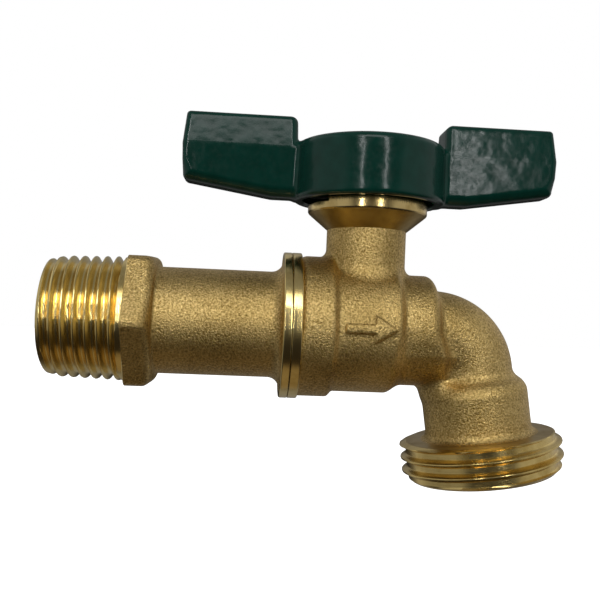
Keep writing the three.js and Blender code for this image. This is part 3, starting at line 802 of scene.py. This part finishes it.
def outlet_body():
    """The cast body with its machined flange, rim, hose thread and bores."""
    low, high = (SEAM, -12.6, -24.6), (84, 12.6, RIM_BOTTOM + 1)     # a box round the casting
    body = field_mesh("outlet_body_brass", body_field, low, high, FINISHES)
    for part in (body_flange(), neck_rim(), stop_ring(), hose_thread()):
        join(body, part, "UNION")
    past = 1.0                        # how far a cut runs on past the open end
    start, step = SEAM - past, SPIGOT_END + 0.4
    seat, seat_floor = STEM_X + 5.5, STEM_X + SEAT_BACK + GAP
    narrow, wide = 9, 12              # the outlet's bore opens out between these
    inside = 4                        # the stem's way starts in the ball's chamber
    mouth, top = OUTLET_END + past, STOP_TOP + past
    socket = [(start, 0, 0), (start, SPIGOT_R + GAP, 0), (step, SPIGOT_R + GAP, 0), (step, CHAMBER_R, 0),
              (seat, CHAMBER_R, 0), (seat, SEAT_POCKET_R, 0),
              (seat_floor, SEAT_POCKET_R, 0), (seat_floor, 0, 0)]
    outlet_bore = [(narrow, 0, 0), (narrow, ELBOW_BORE_R - 0.4, 0), (wide, OUTLET_BORE_R, 0.5),
                   (OUTLET_END - 0.4, OUTLET_BORE_R, 0.2), (mouth, OUTLET_BORE_R + 1.4, 0), (mouth, 0, 0)]
    stem_way = [(inside, 0, 0), (inside, COLLAR_POCKET_R, 0), (COLLAR_POCKET_TOP, COLLAR_POCKET_R, 0),
                (COLLAR_POCKET_TOP, STEM_BORE_R, 0), (PACKING_FLOOR, STEM_BORE_R, 0),
                (PACKING_FLOOR, PACKING_BORE_R, 0), (top, PACKING_BORE_R, 0), (top, 0, 0)]
    cuts = (("socket", PIPE, socket), ("outlet_bore", OUTLET, outlet_bore), ("stem_way", STEM, stem_way))
    for name, axis, points in cuts:
        join(body, turned(name, axis, points, FINISHES, BY_OUTLET, closed=False), "DIFFERENCE")
    settle(body, "valve_body", "cast_brass", "outlet_body")


def handle():
    """The painted handle casting."""
    before, after = 0.6, 0.9          # room round the handle
    low = (STEM_X - WING_TIP - before, -HANDLE_R - before, HANDLE_BOTTOM - before)
    high = (STEM_X + WING_TIP + after, HANDLE_R + after, WING_TOP + after)
    piece = field_mesh("handle_paint_coat", handle_field, low, high, [PAINT])
    settle(piece, "handle_and_stem", "handle_paint", "handle")


def ball():
    """The plated ball, with its bore and the slot for the stem's tang."""
    end = BALL_R + 1
    half_circle = np.linspace(0, math.pi, 49)
    sphere = [(BALL_R * -math.cos(turn), BALL_R * math.sin(turn), 0) for turn in half_circle]
    piece = turned("ball_sphere", PIPE_AT_STEM, sphere, [CHROME], columns=96, closed=False)
    bore = [(-end, 0, 0), (-end, BALL_BORE_R, 0), (end, BALL_BORE_R, 0), (end, 0, 0)]
    join(piece, turned("bore", PIPE_AT_STEM, bore, [CHROME], columns=96, closed=False), "DIFFERENCE")
    low = (STEM_X - SLOT_HALF_X, -SLOT_HALF_Y, SLOT_FLOOR)
    high = (STEM_X + SLOT_HALF_X, SLOT_HALF_Y, end)
    join(piece, block("slot", low, high, [CHROME]), "DIFFERENCE")
    settle(piece, "ball", "ball_chrome", "ball")


def seats():
    """The two cupped seat rings, each facing the ball."""
    cup = BALL_R + GAP
    outer = math.sqrt(cup ** 2 - SEAT_FRONT ** 2)
    rim_r = SEAT_POCKET_R - GAP
    for node, side in (("inlet_seat", -1), ("outlet_seat", 1)):
        points = [(SEAT_BACK, SEAT_BORE_R, 0.15), (SEAT_BACK, rim_r, 0.3), (SEAT_FRONT, rim_r, 0.15)]
        for radius in np.linspace(outer, SEAT_BORE_R, 9):
            points.append((math.sqrt(cup ** 2 - radius ** 2), radius, 0))
        placed = [(STEM_X + side * along, radius, setback) for along, radius, setback in points]
        piece = turned(node + "_ring", PIPE, placed, [PLASTIC])
        settle(piece, "valve_body", "seat_plastic", node)


def body_of(node):
    """The CAD body that a node rides on."""
    return next(name for name, nodes in frame["record"]["behaviour"]["bodies"].items() if node in nodes)


def span(node, axis):
    """Where a ring's CAD node starts and ends along its axis, and its outer radius."""
    low, high = corners(node)
    start, end = (low.x, high.x) if axis is PIPE else (low.z, high.z)
    return start, end, high.y


def round_rings():
    """The plain washers, packing and cushion rings, each sized by its CAD node."""
    inner = STEM_R + GAP
    plain = [
        ("seat_cushion_ring", PIPE, CUSHION_BORE_R, 0.2, RUBBER, "seal_rubber"),
        ("stem_thrust_washer", STEM, inner, 0.1, PLASTIC, "seat_plastic"),
        ("gland_follower", STEM, inner, 0.08, STEM_BRASS, "turned_brass"),
        ("packing_ring_lower", STEM, inner, 0.15, PLASTIC, "seat_plastic"),
        ("packing_ring_middle", STEM, inner, 0.15, PLASTIC, "seat_plastic"),
        ("packing_ring_upper", STEM, inner, 0.15, PLASTIC, "seat_plastic"),
        ("handle_washer", STEM, SCREW_HOLE_R, 0.12, ZINC, "zinc_steel"),
    ]
    for node, axis, hole, setback, material, slot in plain:
        start, end, outer = span(node, axis)
        piece = turned(node + "_turned", axis, ring_corners(start, end, hole, outer, setback), [material])
        settle(piece, body_of(node), slot, node)


def o_rings():
    """The rubber rings of round section."""
    for node, axis, section in (("body_seal_ring", PIPE, 0.55), ("stem_oring_lower", STEM, 0.45),
                                ("stem_oring_upper", STEM, 0.45)):
        start, end, outer = span(node, axis)
        middle, ring_r = (start + end) / 2, outer - section
        points = [(middle + section * math.sin(turn), ring_r + section * math.cos(turn), 0)
                  for turn in np.linspace(0, FULL_TURN, 24, endpoint=False)]
        piece = turned(node + "_rubber", axis, points, [RUBBER])
        settle(piece, body_of(node), "seal_rubber", node)


def stem():
    """Collar, two ring grooves, square drive and tapped hole, with the tang below."""
    brass = [STEM_BRASS]
    points = [(COLLAR_BOTTOM, 0, 0), (COLLAR_BOTTOM, COLLAR_R, 0.2), (COLLAR_TOP, COLLAR_R, 0.2),
              (COLLAR_TOP, STEM_R, 0)]
    for middle in GROOVE_MIDDLES:
        start, end = middle - GROOVE_HALF, middle + GROOVE_HALF
        points += [(start, STEM_R, 0), (start, GROOVE_R, 0), (end, GROOVE_R, 0), (end, STEM_R, 0)]
    points += [(ROUND_TOP, STEM_R, 0.25), (ROUND_TOP, 0, 0)]
    piece = turned("stem_turned", STEM, points, brass, columns=96, closed=False)
    low = (STEM_X - TANG_HALF_X, -TANG_HALF_Y, stem_low.z)
    high = (STEM_X + TANG_HALF_X, TANG_HALF_Y, TANG_TOP)
    join(piece, block("tang", low, high, brass), "UNION")
    low = (STEM_X - SQUARE_HALF, -SQUARE_HALF, SQUARE_BOTTOM)
    high = (STEM_X + SQUARE_HALF, SQUARE_HALF, stem_high.z)
    join(piece, block("square", low, high, brass), "UNION")
    hole_top = stem_high.z + 1
    hole = [(TAP_FLOOR, 0, 0), (TAP_FLOOR, TAP_R, 0), (hole_top, TAP_R, 0), (hole_top, 0, 0)]
    join(piece, turned("tapped", STEM, hole, brass, columns=64, closed=False), "DIFFERENCE")
    settle(piece, "handle_and_stem", "turned_brass", "stem")


def gland_nut():
    """A chamfered hexagon with a round shank."""
    low, high = corners("gland_nut")
    edge = 0.3
    rings = Rings(STEM, 144)
    off = rings.angles % HEX_SECTOR - HEX_SECTOR / 2
    flat = NUT_HALF_FLATS / np.cos(off)
    shank = PACKING_BORE_R - GAP
    inner = STEM_R + GAP
    rings.add(low.z, inner)
    rings.add(low.z, shank - edge)
    rings.add(low.z + edge, shank)
    rings.add(NUT_BOTTOM, shank)
    rings.add(NUT_BOTTOM, np.minimum(flat, NUT_FACE_R))
    rings.add(NUT_BOTTOM + edge, flat)
    rings.add(high.z - 2 * edge, flat)
    for down in (0.4, 0.2, 0.0):
        rings.add(high.z - down, np.minimum(flat, NUT_HALF_FLATS + down * 1.4))
    rings.add(high.z, inner + edge)
    rings.add(high.z - edge, inner)
    piece = rings.piece("gland_nut_turned", [STEM_BRASS])
    settle(piece, body_of("gland_nut"), "turned_brass", "gland_nut")


def lock_washer():
    """A split spring washer, with a gap between its ends."""
    bottom, top, outer = span("lock_washer", STEM)
    section = rounded(ring_corners(bottom, top, SCREW_HOLE_R, outer, 0.1), closed=True)
    gap_angle = 0.11
    piece = swept("lock_washer_split", section, gap_angle, FULL_TURN - gap_angle, 81, [ZINC])
    settle(piece, "handle_and_stem", "zinc_steel", "lock_washer")


def handle_screw():
    """A pan-head machine screw with a helical thread and a cross recess."""
    low, high = corners("handle_screw")
    rings = Rings(STEM, 72)
    thread = thread_radius(low.z, SCREW_PITCH, SCREW_DEPTH, lambda z: SCREW_R,
                           crest_flat=0.1, root_flat=0.1)
    tip_r, neck_r, neck = 1.0, 1.3, HEAD_BOTTOM - 0.4

    def pointed(along, angles):
        return np.minimum(thread(along, angles), tip_r - 0.05 + along - low.z)

    rings.add(low.z, 0)
    rings.add(low.z, tip_r)
    rings.add_thread(low.z + 0.05, neck - 0.1, low.z, SCREW_PITCH, pointed, steps=8)
    rings.add_outline(rounded([
        (neck, neck_r, 0), (HEAD_BOTTOM, neck_r, 0), (HEAD_BOTTOM, HEAD_R, 0.15), (31.1, HEAD_R, 0.25),
        (32.0, 2.9, 0.6), (high.z, 1.5, 0.6), (high.z, 0, 0)]))
    piece = rings.piece("handle_screw_pan_head", [ZINC], closed=False)
    long, short = RECESS_HALF_LENGTH, RECESS_HALF_WIDTH
    for half_x, half_y in ((long, short), (short, long)):
        arm_low = (STEM_X - half_x, -half_y, RECESS_FLOOR)
        arm_high = (STEM_X + half_x, half_y, high.z + 1)
        join(piece, block("arm", arm_low, arm_high, [ZINC]), "DIFFERENCE")
    settle(piece, "handle_and_stem", "zinc_steel", "handle_screw")


# ------------------------------------------------------------------ camera, light and floor
def camera():
    """A 45 mm lens to the left of the stem and just above the pipe's axis, looking slightly up."""
    yaw, pitch, roll = 0.0619, 0.018, 0.0419
    ahead = Vector((math.sin(yaw) * math.cos(pitch), math.cos(yaw) * math.cos(pitch), math.sin(pitch)))
    right = Vector((math.cos(yaw), -math.sin(yaw), 0))
    up = right.cross(ahead)
    tilted_right = math.cos(roll) * right + math.sin(roll) * up
    tilted_up = math.cos(roll) * up - math.sin(roll) * right
    data = bpy.data.cameras.new("camera")
    data.lens = 45
    data.sensor_width = 36
    data.clip_start = 0.005
    made = bpy.data.objects.new("camera", data)
    place_at = Matrix((tilted_right, tilted_up, -ahead)).transposed().to_4x4()
    aside, back, above = 0.0185, 0.1255, 0.002
    place_at.translation = Vector((STEM_X * MM - aside, -back, above))
    made.matrix_world = place_at
    bpy.context.scene.collection.objects.link(made)
    bpy.context.scene.camera = made


def lamp(name, azimuth, elevation, size, power):
    """A rectangular soft light aimed at the valve; azimuth 0 is in front and 90 on the right."""
    distance = 0.6
    data = bpy.data.lights.new(name, "AREA")
    data.shape = "RECTANGLE"
    data.size, data.size_y = size
    data.energy = power
    made = bpy.data.objects.new(name, data)
    turn, rise = math.radians(azimuth), math.radians(elevation)
    away = Vector((math.sin(turn) * math.cos(rise), -math.cos(turn) * math.cos(rise), math.sin(rise)))
    made.location = Vector((STEM_X * MM, 0, 0)) + away * distance
    made.rotation_euler = away.to_track_quat("Z", "Y").to_euler()
    bpy.context.scene.collection.objects.link(made)


def studio():
    """Two narrow strips and a bar above, in a dim room that is plain white when seen directly."""
    lamp("strip_left", -18.5, 15, (0.015, 0.42), 0.57)
    lamp("strip_right", 16.5, 15, (0.014, 0.42), 0.52)
    lamp("top_bar", -3, 38.8, (0.36, 0.2), 0.76)
    world = bpy.data.worlds.new("studio")
    world.use_nodes = True
    bpy.context.scene.world = world
    tree = world.node_tree
    background = tree.nodes["Background"]
    direction = add(tree, "ShaderNodeTexCoord").outputs["Generated"]
    parts = add(tree, "ShaderNodeSeparateXYZ", {0: direction}).outputs
    # a warm table below, a dark band at eye level and a soft ceiling
    sky = ramp(tree, map_range(tree, parts["Z"], -1, 1), [
        (0.0, (0.22, 0.17, 0.1)), (0.035, (0.2, 0.15, 0.085)), (0.065, (0.02, 0.015, 0.01)),
        (0.5, grey(0.02)), (0.72, grey(0.04)), (0.8, grey(0.16)), (1.0, grey(0.2))])
    # pale walls at both sides, and one behind with a dark band across it
    sides = map_range(tree, number_math(tree, "ABSOLUTE", parts["X"]), 0.5, 0.7, top=0.4)
    above_table = map_range(tree, parts["Z"], -0.6, -0.2)
    sides = number_math(tree, "MULTIPLY", sides, above_table)
    behind = map_range(tree, parts["Y"], 0.3, 0.6, top=0.2)
    off_band = number_math(tree, "ABSOLUTE", number_math(tree, "ADD", parts["Z"], 0.12))
    behind = number_math(tree, "MULTIPLY", behind, map_range(tree, off_band, 0.14, 0.26))
    for wall in (sides, behind):
        sky = vector_math(tree, "ADD", sky, wall)
    seen = add(tree, "ShaderNodeLightPath").outputs["Is Camera Ray"]
    colour = add(tree, "ShaderNodeMix", {"Factor": seen, "A": sky, "B": (1, 1, 1, 1)}, data_type="RGBA")
    tree.links.new(colour.outputs["Result"], background.inputs["Color"])
    bpy.context.scene.view_settings.view_transform = "Standard"


def floor():
    """A pale lit table well below the valve, which hangs on its pipe."""
    drop, half = 110, 4000
    height = body_low.z - drop
    points = [(-half, -half, height), (half, -half, height), (half, half, height), (-half, half, height)]
    material, tree, shader, where = new_material("pale_floor", Roughness=0.9, Emission_Strength=1.1)
    mottle = noise(tree, where, scale=3, detail=2)
    colour = ramp(tree, mottle, [(0.3, grey(0.92)), (0.7, grey(0.96))])
    tree.links.new(colour, shader.inputs["Base Color"])
    tree.links.new(colour, shader.inputs["Emission Color"])
    mesh = bpy.data.meshes.new("floor")
    mesh.from_pydata([tuple(value * MM for value in point) for point in points], [], [(0, 1, 2, 3)])
    mesh.materials.append(material)
    made = bpy.data.objects.new("floor", mesh)
    made.visible_glossy = False
    made.visible_diffuse = False
    bpy.context.scene.collection.objects.link(made)


camera()
inlet_tailpiece()
outlet_body()
handle()
ball()
seats()
round_rings()
o_rings()
stem()
gland_nut()
lock_washer()
handle_screw()
studio()
floor()
